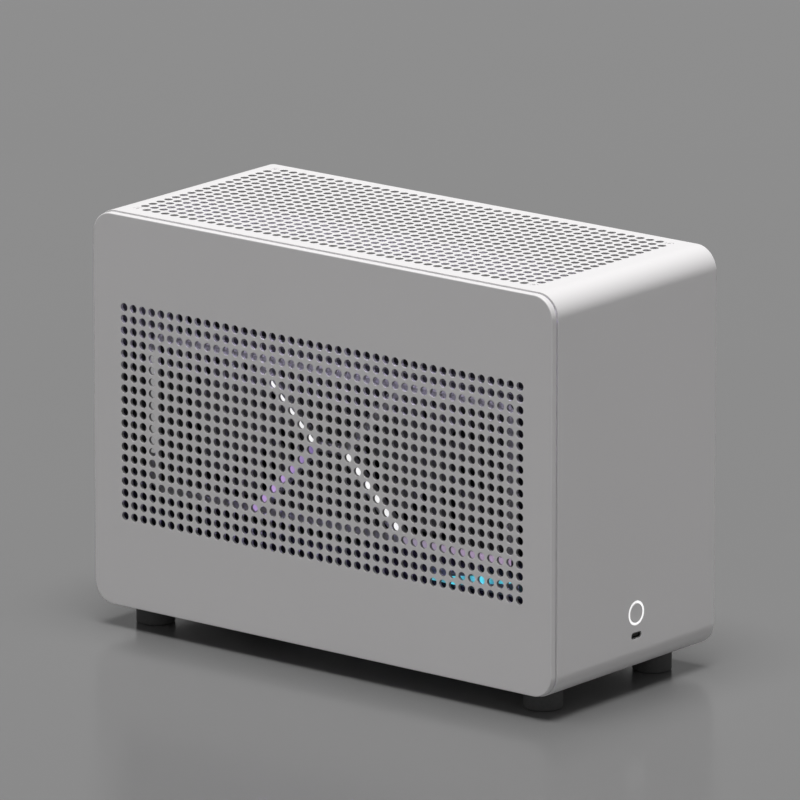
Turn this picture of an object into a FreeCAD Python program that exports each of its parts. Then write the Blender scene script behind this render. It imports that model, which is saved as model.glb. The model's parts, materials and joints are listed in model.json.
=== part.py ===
"""Upright mini-ITX computer case: bent wrap, two pull-off side trays, steel chassis, graphics card.

Millimetres. +X to the case's right side, -Y to the front with the power button, +Z up.
The origin is on the floor, under the middle of the case.
"""

import FreeCAD, Part
import math
import os

Vec = FreeCAD.Vector
ALONG_X = Vec(1, 0, 0)
ALONG_Y = Vec(0, 1, 0)
ALONG_Z = Vec(0, 0, 1)

# Sides of the regular prism that a small round piece is drawn as
round_sides = 20
hexagon_sides = 6

# Distance within which an edge counts as lying on a face
on_face = 0.001

# Outer case
case_width = 152.0
case_length = 342.0
case_height = 238.0
corner_radius = 14.0
skin = 2.0
panel_depth = 4.2
panel_seam = 0.6
panel_edge_break = 0.6
left_panel_step = 0.8
rear_lip = 8.0

# Perforated fields: one modelled opening stands for a square block of the sheet's small round holes
hole_pitch = 7.0
hole_diameter = 5.1
field_columns = 43
field_rows = 19
cooler_field_columns = 13
cooler_field_rows = 13
holes_per_opening = 3
opening_sides = 6
top_field_right = 1.0
top_field_rearward = 3.0

# Feet
foot_height = 13.0
foot_diameter = 23.0
foot_edge_break = 1.2
foot_from_side = 25.0
foot_from_end = 26.0

# Vents in the underside and the rear
floor_vent_count = 7
floor_vent_length = 84.0
floor_vent_width = 5.0
floor_vent_pitch = 20.0
rear_vent_count = 6
rear_vent_length = 20.0
rear_vent_width = 5.0
rear_vent_pitch = 16.0
rear_vents_above_middle = 27.0

# Front controls
button_above_underside = 35.8
ring_outer = 14.3
ring_width = 1.0
ring_depth = 2.8
button_gap = 0.3
button_length = 6.2
button_edge = 0.3
button_travel = 1.2
switch_side = 18.0
switch_length = 19.0
port_below_button = 13.3
port_width = 8.94
port_height = 3.26
port_wall = 0.3
port_length = 7.6
port_end_facets = 6
port_recess = 0.2
port_tongue_width = 6.7
port_tongue_height = 0.7
port_tongue_length = 5.4
port_board_width = 18.0
port_board_length = 15.0
port_bracket_length = 17.0

# Chassis sheet metal
steel = 1.2
fit_gap = 0.3
rail_web = 14.0
rail_flange = 14.0
rail_setback = 0.6
rail_end_gap = 7.0
tab_width = 12.0
tab_foot = 9.0
tab_reach = 8.0
tab_slot_gap = 0.5
tab_apart = 260.0
plate_flange = 10.0
plate_left_of_middle = 10.0
rear_plate_clear = 1.0
rear_tab_width = 30.0
rear_tab_depth = 10.0

# Main board bay
board_side = 170.0
board_edge_gap = 0.8
board_below_middle = 3.0
board_thickness = 1.6
standoff_height = 6.5
standoff_flats = 5.5
standoff_bore = 2.8
board_hole_from_rear = 10.16
board_holes_along = 154.94
board_holes_upright = 157.48
io_window_upright = 158.75
io_window_across = 44.45
io_window_below_board = 2.2

# Power supply bay
supply_width = 63.5
supply_height = 125.0
supply_holes_across = 51.5
supply_holes_upright = 113.0
supply_hole = 3.8
supply_side_gap = 4.0
supply_border = 6.0
supply_window_across = 41.0
supply_window_upright = 103.0
supply_flange = 20.0
plug_room = 41.0

# Mains inlet
inlet_across = 19.5
inlet_upright = 27.0
inlet_flange_border = 2.2
inlet_flange_depth = 2.0
inlet_body_depth = 21.0
inlet_wall = 1.8
inlet_cavity = 16.0
inlet_pin_across = 4.0
inlet_pin_upright = 2.0
inlet_pin_length = 10.0
inlet_pin_apart = 7.0
inlet_pin_offset = 4.0
inlet_from_right = 17.0
inlet_above_underside = 32.0

# Graphics card
card_length = 273.0
card_height = 98.0
card_below_middle = 3.0
card_from_rear = 9.8
card_clearance = 6.0
frame_thickness = 5.0
frame_bar = 7.0
frame_corner = 8.0
frame_edge_break = 1.8
brace_width = 6.0
brace_link = 26.0
shroud_depth = 12.5
shroud_border = 3.0
fan_opening = 86.0
fan_apart = 136.0
fan_tip_gap = 2.0
fan_hub = 34.0
fan_hub_depth = 9.0
hub_sides = 12
fan_blades = 7
blade_chord = 17.0
blade_thickness = 1.4
shaft_diameter = 4.0
shaft_sides = 8
motor_seat = 30.0
motor_seat_depth = 2.0
motor_arm = 6.0
fin_depth = 20.2
fin_base = 3.0
fin_thickness = 1.4
fin_pitch = 20.0
fin_count = 13
fin_border = 6.0
card_sheet = 1.6
backplate_gap = 0.5
backplate_thickness = 1.2
bracket_sheet = 0.9
bracket_width = 40.0
bracket_height = 113.0
bracket_past_board = 3.0
bracket_tab = 11.4
slot_count = 2
slot_pitch = 20.32
slot_window_across = 13.0
slot_window_upright = 92.0
port_count = 4
port_pitch = 21.0
card_port_upright = 16.0
card_port_across = 7.0
card_port_depth = 18.0
card_port_wall = 1.0
card_port_cavity = 11.0

# Riser under the card
edge_length = 85.0
edge_from_rear = 55.0
edge_depth = 10.0
socket_height = 11.5
socket_width = 7.5
socket_end = 3.0
socket_below_card = 3.0
riser_board_width = 29.0
riser_border = 4.0
riser_shelf_drop = 20.0
riser_pass_height = 24.0

# Light strips
strip_section = 8.0
strip_thickness = 3.0
top_strip_length = 280.0
top_strip_below_roof = 23.0
front_strip_length = 65.0
front_strip_from_front = 73.0
front_strip_above_floor = 37.0
floor_strip_length = 200.0
floor_strip_from_front = 43.0
floor_strip_from_rail = 2.6

# Faces of the outer case
left = -case_width / 2
right = case_width / 2
front = -case_length / 2
rear = case_length / 2
underside = foot_height
top = foot_height + case_height
middle_z = foot_height + case_height / 2
shell_left = left + panel_depth + panel_seam
shell_middle = (shell_left + right) / 2
inner_front = front + skin
inner_floor = underside + skin
inner_roof = top - skin

# Faces of the chassis
left_web = shell_left + rail_setback
right_web = right - panel_depth - panel_seam
rear_plate_outer = rear - corner_radius - rear_plate_clear
rear_plate_inner = rear_plate_outer - steel
rail_front = front + corner_radius + rail_end_gap
rail_rear = rear_plate_inner - rear_plate_clear

# Dividing plate, and the layers of the graphics card from there towards the left side
mid_right = -plate_left_of_middle
mid_left = mid_right - steel
backplate_back = mid_left - card_clearance
backplate_face = backplate_back - backplate_thickness
card_board_back = backplate_face - backplate_gap
card_board_face = card_board_back - card_sheet
fin_face = card_board_face - fin_depth
shroud_back = fin_face - fit_gap
shroud_face = shroud_back - shroud_depth
card_face = shroud_face - frame_thickness
card_rear = rear_plate_inner - card_from_rear
card_front = card_rear - card_length
card_middle_y = (card_rear + card_front) / 2
card_middle_z = middle_z - card_below_middle
card_low = card_middle_z - card_height / 2
card_high = card_middle_z + card_height / 2

# Places of the front controls
button_z = underside + button_above_underside
port_z = button_z - port_below_button
ring_inner = ring_outer - 2 * ring_width
ring_back = front + ring_depth
port_board_top = port_z - port_height / 2
port_board_low = port_board_top - card_sheet


def block(x0, x1, y0, y1, z0, z1):
    """Box between two corners."""
    return Part.makeBox(x1 - x0, y1 - y0, z1 - z0, Vec(x0, y0, z0))


def rounded_block(x0, x1, y0, y1, z0, z1, radius, direction):
    """Box with the four edges along one direction rounded."""
    body = block(x0, x1, y0, y1, z0, z1)
    edges = [e for e in body.Edges if abs(e.tangentAt(e.FirstParameter).dot(direction)) > 0.99]
    return body.makeFillet(radius, edges)


def rod(diameter, start, length, direction):
    """Round bar from a point along a direction."""
    return Part.makeCylinder(diameter / 2, length, start, direction)


def prism(sides, radius, start, length, direction):
    """Regular polygon bar from a point along a direction."""
    turn = FreeCAD.Rotation(ALONG_Z, direction)
    corners = []
    for i in range(sides + 1):
        angle = 2 * math.pi * (i % sides) / sides
        corners.append(start + turn.multVec(Vec(radius * math.cos(angle), radius * math.sin(angle), 0)))
    return Part.Face(Part.makePolygon(corners)).extrude(direction * length)


def faceted(diameter, start, length, direction):
    """Small round bar, drawn as a prism."""
    return prism(round_sides, diameter / 2, start, length, direction)


def outline(points, x0, x1):
    """Flat plate across X with a polygon outline given as (y, z) points."""
    corners = [Vec(x0, y, z) for y, z in points]
    corners.append(corners[0])
    return Part.Face(Part.makePolygon(corners)).extrude(Vec(x1 - x0, 0, 0))


def fused(*pieces):
    """One solid from pieces that share faces or overlap."""
    return pieces[0].multiFuse(list(pieces[1:])).removeSplitter()


def field_places(columns, rows):
    """Offsets along and across from the middle of a perforated field to each modelled opening."""
    step = hole_pitch * holes_per_opening
    columns = columns // holes_per_opening
    rows = rows // holes_per_opening
    for i in range(columns):
        for j in range(rows):
            yield (i - (columns - 1) / 2) * step, (j - (rows - 1) / 2) * step


def opening_radius():
    """Corner radius of a polygon opening with the open area of the round holes that it stands for."""
    open_area = holes_per_opening**2 * math.pi * hole_diameter**2 / 4
    return math.sqrt(2 * open_area / (opening_sides * math.sin(2 * math.pi / opening_sides)))


def side_field(x0, x1, middle_y, columns, rows):
    """Cutter for the perforated field of a side panel."""
    radius = opening_radius()
    openings = []
    for along, across in field_places(columns, rows):
        start = Vec(x0, middle_y + along, middle_z + across)
        openings.append(prism(opening_sides, radius, start, x1 - x0, ALONG_X))
    return Part.makeCompound(openings)


def top_field():
    """Cutter for the perforated field of the shell's top."""
    radius = opening_radius()
    x = shell_middle + top_field_right
    openings = []
    for along, across in field_places(field_columns, field_rows):
        start = Vec(x + across, top_field_rearward + along, inner_roof)
        openings.append(prism(opening_sides, radius, start, skin, ALONG_Z))
    return Part.makeCompound(openings)


def make_outer_shell():
    """Bent wrap: top, front and underside in one sheet, with a lip at the top and bottom of the rear."""
    wrap = rounded_block(shell_left, right, front, rear, underside, top, corner_radius, ALONG_X)
    inside = rounded_block(
        shell_left, right, inner_front, rear - skin, inner_floor, inner_roof, corner_radius - skin, ALONG_X
    )
    lip = corner_radius + rear_lip
    rear_mouth = block(shell_left, right, rear - skin, rear, underside + lip, top - lip)
    button_hole = faceted(ring_outer + button_gap, Vec(shell_middle, front, button_z), skin, ALONG_Y)
    cuts = [inside, rear_mouth, button_hole, port_bar(front, inner_front, fit_gap), top_field()]
    first = -(floor_vent_count - 1) / 2
    for i in range(floor_vent_count):
        y = (first + i) * floor_vent_pitch
        x0 = shell_middle - floor_vent_length / 2
        y0 = y - floor_vent_width / 2
        cuts.append(block(x0, x0 + floor_vent_length, y0, y0 + floor_vent_width, underside, inner_floor))
    return wrap.cut(cuts)


def port_bar(y0, y1, gap):
    """Round-ended bar of the USB port's outline, wider by a gap all round."""
    end_radius = port_height / 2 + gap
    half_straight = (port_width - port_height) / 2
    corners = []
    for side, start in ((1, -math.pi / 2), (-1, math.pi / 2)):
        for i in range(port_end_facets + 1):
            angle = start + math.pi * i / port_end_facets
            x = shell_middle + side * half_straight + end_radius * math.cos(angle)
            corners.append(Vec(x, y0, port_z + end_radius * math.sin(angle)))
    corners.append(corners[0])
    return Part.Face(Part.makePolygon(corners)).extrude(Vec(0, y1 - y0, 0))


def panel_tray(face, inner, edge, margin):
    """Side panel without its holes: a sheet at face with a rim turned in as far as edge."""
    radius = corner_radius - margin
    y_span = (front + margin, rear - margin)
    z_span = (underside + margin, top - margin)
    body = rounded_block(*sorted((face, edge)), *y_span, *z_span, radius, ALONG_X)
    rim = [e for e in body.Edges if abs(e.BoundBox.XMin - face) + e.BoundBox.XLength < on_face]
    body = body.makeChamfer(panel_edge_break, rim)
    y_inside = (y_span[0] + skin, y_span[1] - skin)
    z_inside = (z_span[0] + skin, z_span[1] - skin)
    inside = rounded_block(*sorted((inner, edge)), *y_inside, *z_inside, radius - skin, ALONG_X)
    return body.cut(inside)


def make_left_side_panel():
    """Tray over the whole left side, a seam away from the shell and a step inside its outline."""
    inner = left + skin
    tray = panel_tray(left, inner, left + panel_depth, left_panel_step)
    return tray.cut(side_field(left, inner, 0, field_columns, field_rows))


def make_right_side_panel():
    """Tray inside the shell's right edge, flush with it, with holes over the main board's cooler."""
    inner = right - skin
    tray = panel_tray(right, inner, right - panel_depth, skin + panel_seam)
    board_middle_y = rear_plate_inner - board_edge_gap - board_side / 2
    return tray.cut(side_field(inner, right, board_middle_y, cooler_field_columns, cooler_field_rows))


def tab_places():
    """Middle of each panel tab along and up the side."""
    low = inner_floor + rail_web / 2
    high = inner_roof - rail_web / 2
    for y in (-tab_apart / 2, tab_apart / 2):
        for z in (low, high):
            yield y, z


def panel_tabs(inner, inward):
    """Spring tabs of one side panel. inward is the sign of X from the panel into the case."""
    tabs = []
    for y, z in tab_places():
        foot_x = sorted((inner, inner + inward * steel))
        leg_x = sorted((inner, inner + inward * tab_reach))
        y_span = (y - tab_width / 2, y + tab_width / 2)
        leg_z = (z - steel / 2, z + steel / 2)
        foot_end = z + math.copysign(tab_foot, middle_z - z)
        foot = block(*foot_x, *y_span, min(leg_z[0], foot_end), max(leg_z[1], foot_end))
        leg = block(*leg_x, *y_span, *leg_z)
        tabs.append(fused(foot, leg))
    return Part.makeCompound(tabs)


def rail(web_outer, inward, z_seat, downward):
    """Angle rail along the case: a web beside the side panel and a flange against the shell."""
    web_x = sorted((web_outer, web_outer + inward * steel))
    flange_x = sorted((web_outer, web_outer + inward * rail_flange))
    web_z = sorted((z_seat, z_seat + downward * rail_web))
    flange_z = sorted((z_seat, z_seat + downward * steel))
    web = block(*web_x, rail_front, rail_rear, *web_z)
    flange = block(*flange_x, rail_front, rail_rear, *flange_z)
    slots = []
    half_width = tab_width / 2 + tab_slot_gap
    half_height = steel / 2 + tab_slot_gap
    for y, z in tab_places():
        if web_z[0] < z < web_z[1]:
            slots.append(block(*web_x, y - half_width, y + half_width, z - half_height, z + half_height))
    return fused(web, flange).cut(slots)


def make_rear_panel():
    """Steel rear plate, set in from the shell's rear lips."""
    x0 = left_web
    x1 = right_web
    plate = block(x0, x1, rear_plate_inner, rear_plate_outer, inner_floor, inner_roof)
    pieces = [plate]
    for x in (mid_left - rear_tab_width, mid_right + rear_tab_width):
        x_span = (x - rear_tab_width / 2, x + rear_tab_width / 2)
        y_span = (rear_plate_inner - rear_tab_depth, rear_plate_inner)
        pieces.append(block(*x_span, *y_span, inner_floor, inner_floor + steel))
        pieces.append(block(*x_span, *y_span, inner_roof - steel, inner_roof))
    pieces.append(slot_shelf())
    cuts = [io_window(), bracket_slit()] + slot_windows() + rear_vents()
    cuts.append(inlet_outline(rear_plate_inner, rear_plate_outer, fit_gap))
    return fused(*pieces).cut(cuts)


def board_x():
    """Underside of a main board on its standoffs."""
    return mid_right + standoff_height


def board_middle_z():
    """Height of the main board's middle."""
    return middle_z - board_below_middle


def io_window():
    """Cut-out for the main board's connectors."""
    x0 = board_x() + board_thickness - io_window_below_board
    z0 = board_middle_z() - io_window_upright / 2
    return block(
        x0, x0 + io_window_across, rear_plate_inner, rear_plate_outer, z0, z0 + io_window_upright
    )


def bracket_right():
    """Edge of the card's bracket on the dividing plate's side."""
    return card_board_face + bracket_past_board


def bracket_top():
    """Underside of the bracket's screw tab."""
    return card_low + bracket_height


def slot_shelf():
    """Ledge outside the rear plate that the bracket's tab is screwed to."""
    x1 = bracket_right()
    y1 = rear_plate_outer + bracket_tab
    return block(x1 - bracket_width, x1, rear_plate_outer, y1, bracket_top() - steel, bracket_top())


def bracket_slit():
    """Slit in the rear plate for the bracket's tab."""
    x1 = bracket_right() + fit_gap
    x0 = x1 - bracket_width - 2 * fit_gap
    z0 = bracket_top()
    return block(x0, x1, rear_plate_inner, rear_plate_outer, z0, z0 + bracket_sheet + fit_gap)


def slot_windows():
    """One upright window in the rear plate for each slot of the card."""
    windows = []
    for i in range(slot_count):
        x = bracket_right() - slot_pitch / 2 - i * slot_pitch
        x_span = (x - slot_window_across / 2, x + slot_window_across / 2)
        z0 = card_middle_z - slot_window_upright / 2
        windows.append(block(*x_span, rear_plate_inner, rear_plate_outer, z0, z0 + slot_window_upright))
    return windows


def inlet_middle():
    """Middle of the mains inlet across and up the rear plate."""
    return right - inlet_from_right, underside + inlet_above_underside


def inlet_outline(y0, y1, border):
    """Block of the mains inlet's outline, wider by a border all round."""
    x, z = inlet_middle()
    half_across = inlet_across / 2 + border
    half_upright = inlet_upright / 2 + border
    return block(x - half_across, x + half_across, y0, y1, z - half_upright, z + half_upright)


def rear_vents():
    """Row of slots in the rear plate above the mains inlet."""
    x, _ = inlet_middle()
    first = middle_z + rear_vents_above_middle - (rear_vent_count - 1) / 2 * rear_vent_pitch
    x_span = (x - rear_vent_length / 2, x + rear_vent_length / 2)
    slots = []
    for i in range(rear_vent_count):
        z0 = first + i * rear_vent_pitch - rear_vent_width / 2
        slots.append(block(*x_span, rear_plate_inner, rear_plate_outer, z0, z0 + rear_vent_width))
    return slots


def make_power_inlet():
    """Mains inlet: flange outside the plate, body inside, with a cavity and three pins."""
    body = inlet_outline(rear_plate_outer - inlet_body_depth, rear_plate_outer, 0)
    flange_out = rear_plate_outer + inlet_flange_depth
    flange = inlet_outline(rear_plate_outer, flange_out, inlet_flange_border)
    cavity = inlet_outline(flange_out - inlet_cavity, flange_out, -inlet_wall)
    x, z = inlet_middle()
    y0 = flange_out - inlet_cavity
    pins = []
    for shift_x, shift_z in ((0, 0), (1, 1), (1, -1)):
        pin_x = x + inlet_pin_offset / 2 - shift_x * inlet_pin_offset - inlet_pin_across / 2
        pin_z = z + shift_z * inlet_pin_apart - inlet_pin_upright / 2
        pins.append(
            block(
                pin_x,
                pin_x + inlet_pin_across,
                y0,
                y0 + inlet_pin_length,
                pin_z,
                pin_z + inlet_pin_upright,
            )
        )
    return fused(fused(body, flange).cut(cavity), *pins)


def make_mid_plate():
    """Dividing plate with a flange at the roof and the floor, notched for the riser's ribbon."""
    y0 = front + corner_radius + rear_plate_clear
    web = block(mid_left, mid_right, y0, rear_plate_inner, inner_floor, inner_roof)
    flange_x = (mid_right, mid_right + plate_flange)
    low_flange = block(*flange_x, y0, rear_plate_inner, inner_floor, inner_floor + steel)
    high_flange = block(*flange_x, y0, rear_plate_inner, inner_roof - steel, inner_roof)
    return fused(web, low_flange, high_flange).cut(riser_pass())


def riser_span():
    """Front and rear end of the card's edge connector."""
    y1 = rear_plate_inner - edge_from_rear
    return y1 - edge_length, y1


def riser_pass():
    """Notch at the floor under the riser."""
    y0, y1 = riser_span()
    z1 = inner_floor + riser_pass_height
    return block(mid_left, mid_right + plate_flange, y0 - riser_border, y1 + riser_border, inner_floor, z1)


def make_board_standoffs():
    """Four hexagon pillars with the main board's hole pattern."""
    pillars = []
    hexagon_radius = standoff_flats / 2 / math.cos(math.pi / hexagon_sides)
    rear_holes = rear_plate_inner - board_edge_gap - board_hole_from_rear
    for y in (rear_holes, rear_holes - board_holes_along):
        for z_side in (-1, 1):
            base = Vec(mid_right, y, board_middle_z() + z_side * board_holes_upright / 2)
            pillar = prism(hexagon_sides, hexagon_radius, base, standoff_height, ALONG_X)
            pillars.append(pillar.cut(rod(standoff_bore, base, standoff_height, ALONG_X)))
    return Part.makeCompound(pillars)


def make_psu_bracket():
    """Upright plate that the power supply is screwed to, with a flange on the dividing plate."""
    y0 = inner_front + plug_room
    x_supply = mid_right + supply_side_gap
    x_middle = x_supply + supply_width / 2
    half_height = supply_height / 2 + supply_border
    z_span = (middle_z - half_height, middle_z + half_height)
    plate = block(mid_right, x_supply + supply_width + supply_border, y0, y0 + steel, *z_span)
    flange = block(mid_right, mid_right + steel, y0, y0 + supply_flange, *z_span)
    half_across = supply_window_across / 2
    half_upright = supply_window_upright / 2
    cuts = [
        block(
            x_middle - half_across,
            x_middle + half_across,
            y0,
            y0 + steel,
            middle_z - half_upright,
            middle_z + half_upright,
        )
    ]
    for x_side in (-1, 1):
        for z_side in (-1, 1):
            x = x_middle + x_side * supply_holes_across / 2
            z = middle_z + z_side * supply_holes_upright / 2
            cuts.append(rod(supply_hole, Vec(x, y0, z), steel, ALONG_Y))
    return fused(plate, flange).cut(cuts)


def riser_levels():
    """Heights of the socket's top, the riser board's top and underside, and the shelf's underside."""
    socket_top = card_low - socket_below_card
    board_top = socket_top - socket_height
    board_low = board_top - card_sheet
    return socket_top, board_top, board_low, board_low - steel


def make_riser_socket():
    """Long edge connector with a groove for the card."""
    socket_top, board_top, _, _ = riser_levels()
    y0, y1 = riser_span()
    x = (card_board_face + card_board_back) / 2
    half_groove = card_sheet / 2 + fit_gap
    body = block(
        x - socket_width / 2, x + socket_width / 2, y0 - socket_end, y1 + socket_end, board_top, socket_top
    )
    groove_low = card_low - edge_depth - fit_gap
    groove = block(x - half_groove, x + half_groove, y0 - fit_gap, y1 + fit_gap, groove_low, socket_top)
    return body.cut(groove)


def make_riser_board():
    """Circuit board under the socket."""
    _, board_top, board_low, _ = riser_levels()
    y0, y1 = riser_span()
    return block(
        mid_left - steel - riser_board_width,
        mid_left - steel,
        y0 - riser_border,
        y1 + riser_border,
        board_low,
        board_top,
    )


def make_riser_bracket():
    """Angle under the riser board, fixed to the dividing plate."""
    _, _, board_low, shelf_low = riser_levels()
    y0, y1 = riser_span()
    y_span = (y0 - riser_border, y1 + riser_border)
    shelf = block(mid_left - steel - riser_board_width, mid_left, *y_span, shelf_low, board_low)
    upstand = block(mid_left - steel, mid_left, *y_span, shelf_low - riser_shelf_drop, board_low)
    return fused(shelf, upstand)


def make_foot(x_side, y_side):
    """Rubber foot with a broken lower edge."""
    x = x_side * (right - foot_from_side)
    y = y_side * (rear - foot_from_end)
    body = faceted(foot_diameter, Vec(x, y, 0), foot_height, ALONG_Z)
    low_edge = [e for e in body.Edges if e.BoundBox.ZMax < on_face]
    return body.makeChamfer(foot_edge_break, low_edge)


def make_light_ring():
    """Light guide round the button, flush with the front sheet."""
    start = Vec(shell_middle, front, button_z)
    bore = faceted(ring_inner, start, ring_depth, ALONG_Y)
    return faceted(ring_outer, start, ring_depth, ALONG_Y).cut(bore)


def make_power_button():
    """Button cap inside the light ring."""
    start = Vec(shell_middle, front, button_z)
    cap = faceted(ring_inner - 2 * button_gap, start, button_length, ALONG_Y)
    rim = [e for e in cap.Edges if e.BoundBox.YMax < front + on_face]
    return cap.makeChamfer(button_edge, rim)


def make_switch_body():
    """Switch housing behind the front sheet, with room for the ring and for the button's travel."""
    start = Vec(shell_middle, inner_front, button_z)
    half = switch_side / 2
    housing = block(
        shell_middle - half,
        shell_middle + half,
        inner_front,
        inner_front + switch_length,
        button_z - half,
        button_z + half,
    )
    ring_seat = faceted(ring_outer + button_gap, start, ring_back - inner_front, ALONG_Y)
    pocket_end = front + button_length + button_travel + button_gap
    pocket = faceted(ring_inner, start, pocket_end - inner_front, ALONG_Y)
    return housing.cut([ring_seat, pocket])


def make_usb_socket():
    """Round-ended metal sleeve with a closed back and a contact tongue."""
    y0 = front + port_recess
    y1 = y0 + port_length
    sleeve = port_bar(y0, y1, 0)
    back = y1 - port_wall
    cavity = port_bar(y0, back, -port_wall)
    x0 = shell_middle - port_tongue_width / 2
    z0 = port_z - port_tongue_height / 2
    tongue_front = back - port_tongue_length
    tongue = block(x0, x0 + port_tongue_width, tongue_front, back, z0, z0 + port_tongue_height)
    return fused(sleeve.cut(cavity), tongue)


def make_port_board():
    """Small circuit board under the USB socket."""
    x0 = shell_middle - port_board_width / 2
    y0 = inner_front + fit_gap
    return block(x0, x0 + port_board_width, y0, y0 + port_board_length, port_board_low, port_board_top)


def make_port_bracket():
    """Angle that carries the port board on the front sheet."""
    x0 = shell_middle - port_board_width / 2
    x1 = x0 + port_board_width
    shelf_low = port_board_low - steel
    shelf = block(x0, x1, inner_front, inner_front + port_bracket_length, shelf_low, port_board_low)
    flat_low = underside + corner_radius + fit_gap
    upstand = block(x0, x1, inner_front, inner_front + steel, flat_low, port_board_low)
    return fused(shelf, upstand)


def make_card_frame():
    """Bright frame of the card: a border with diagonal braces that meet at a short level link."""
    y0 = card_front + frame_corner
    y1 = card_rear - frame_corner
    z0 = card_low + frame_corner
    z1 = card_high - frame_corner
    border = [(card_front, z0), (y0, card_low), (y1, card_low), (card_rear, z0)]
    border += [(card_rear, z1), (y1, card_high), (y0, card_high), (card_front, z1)]
    return bevelled(border, -1).cut(frame_openings())


def bevelled(points, widen):
    """Plate through the frame; at the face its outline is wider (1) or narrower (-1) by the broken edge."""
    slope_end = card_face + frame_edge_break
    wires = []
    for x in (card_face, slope_end):
        corners = [Vec(x, y, z) for y, z in points]
        wires.append(Part.makePolygon(corners + corners[:1]))
    wires[0] = wires[0].makeOffset2D(widen * frame_edge_break, join=2)
    slope = Part.makeLoft(wires, True, True)
    return fused(slope, outline(points, slope_end, shroud_face))


def frame_openings():
    """Two wide openings for the fans, and two narrow ones above and below the link."""
    rise = card_height / 2 - frame_bar
    low = card_middle_z - rise
    high = card_middle_z + rise
    half_link = brace_link / 2
    slant = brace_width * math.sqrt(2) / 2
    cutters = []
    for side, end in ((-1, card_front + frame_bar), (1, card_rear - frame_bar)):
        tip = card_middle_y + side * (half_link + slant / 2)
        shoulder = tip + side * rise
        points = [(tip, card_middle_z), (shoulder, high), (end, high), (end, low), (shoulder, low)]
        cutters.append(bevelled(points, 1))
    for direction, edge in ((1, high), (-1, low)):
        level = card_middle_z + direction * brace_width / 2
        run = rise - brace_width / 2 - slant / 2
        inner = half_link - slant
        points = [(card_middle_y - inner, level), (card_middle_y + inner, level)]
        points.append((card_middle_y + inner + run, edge))
        points.append((card_middle_y - inner - run, edge))
        cutters.append(bevelled(points, 1))
    return cutters


def fan_middles():
    """Middle of the front and rear fan along the card."""
    return card_middle_y - fan_apart / 2, card_middle_y + fan_apart / 2


def make_card_shroud():
    """Dark duct behind the frame with two fan openings, each with a motor seat on a cross arm."""
    y_span = (card_front + shroud_border, card_rear - shroud_border)
    z_span = (card_low + shroud_border, card_high - shroud_border)
    duct = block(shroud_face, shroud_back, *y_span, *z_span)
    seat_face = shroud_back - motor_seat_depth
    reach = fan_opening / 2 + shroud_border / 2
    seats = []
    bores = []
    for y in fan_middles():
        duct = duct.cut(faceted(fan_opening, Vec(shroud_face, y, card_middle_z), shroud_depth, ALONG_X))
        seat_start = Vec(seat_face, y, card_middle_z)
        seats.append(prism(hub_sides, motor_seat / 2, seat_start, motor_seat_depth, ALONG_X))
        arm_y = (y - motor_arm / 2, y + motor_arm / 2)
        arm_z = (card_middle_z - reach, card_middle_z + reach)
        seats.append(block(seat_face, shroud_back, *arm_y, *arm_z))
        bore_radius = shaft_diameter / 2 + 2 * fit_gap
        bores.append(prism(shaft_sides, bore_radius, seat_start, motor_seat_depth, ALONG_X))
    return fused(duct, *seats).cut(bores)


def make_fan_rotor(y):
    """Fan rotor: hub, shaft and flat blades, pitched to be as deep as the hub."""
    seat_face = shroud_back - motor_seat_depth
    hub_back = seat_face - fit_gap
    hub_face = hub_back - fan_hub_depth
    hub = prism(hub_sides, fan_hub / 2, Vec(hub_face, y, card_middle_z), fan_hub_depth, ALONG_X)
    shaft_start = Vec(hub_back, y, card_middle_z)
    shaft = prism(shaft_sides, shaft_diameter / 2, shaft_start, motor_seat_depth, ALONG_X)
    half_thick = blade_thickness / 2
    half_chord = blade_chord / 2
    root = fan_hub / 2 - blade_thickness
    tip = fan_opening / 2 - fan_tip_gap
    blade = block(-half_thick, half_thick, -half_chord, half_chord, root, tip)
    pitch_angle = math.degrees(math.asin((fan_hub_depth - blade_thickness) / blade_chord))
    blade.rotate(Vec(0, 0, 0), ALONG_Z, pitch_angle)
    blades = []
    for i in range(fan_blades):
        copy = blade.copy()
        copy.rotate(Vec(0, 0, 0), ALONG_X, 360 * i / fan_blades)
        copy.translate(Vec((hub_face + hub_back) / 2, y, card_middle_z))
        blades.append(copy)
    return fused(hub, shaft, *blades)


def make_card_fins():
    """Cooling fins on a base plate."""
    z0 = card_low + fin_border
    z1 = card_high - fin_border
    first = card_middle_y - fin_pitch * (fin_count - 1) / 2
    last = first + fin_pitch * (fin_count - 1)
    base = block(card_board_face - fin_base, card_board_face, first, last, z0, z1)
    fins = []
    for i in range(fin_count):
        y = first + i * fin_pitch
        fins.append(block(fin_face, card_board_face, y - fin_thickness / 2, y + fin_thickness / 2, z0, z1))
    return fused(base, *fins)


def make_card_board():
    """Circuit board of the card with its edge connector."""
    rear_edge = rear_plate_inner - bracket_sheet - fit_gap
    y0 = card_front + fin_border
    sheet = block(
        card_board_face, card_board_back, y0, rear_edge, card_low + shroud_border, card_high - shroud_border
    )
    edge_y = riser_span()
    edge = block(
        card_board_face, card_board_back, *edge_y, card_low - edge_depth, card_low + shroud_border
    )
    return fused(sheet, edge)


def make_card_backplate():
    """Cover over the card's back."""
    y0 = card_front + shroud_border
    y1 = card_rear - shroud_border
    z0 = card_low + shroud_border
    z1 = card_high - shroud_border
    return block(backplate_face, backplate_back, y0, y1, z0, z1)


def card_port_places():
    """Middle height of each socket on the card's bracket."""
    for i in range(port_count):
        yield card_middle_z + (i - (port_count - 1) / 2) * port_pitch


def card_port_block(z, border, y0, y1):
    """Block of one card socket's outline, wider by a border all round."""
    x1 = card_board_face + border
    x0 = card_board_face - card_port_across - border
    half = card_port_upright / 2 + border
    return block(x0, x1, y0, y1, z - half, z + half)


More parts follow.
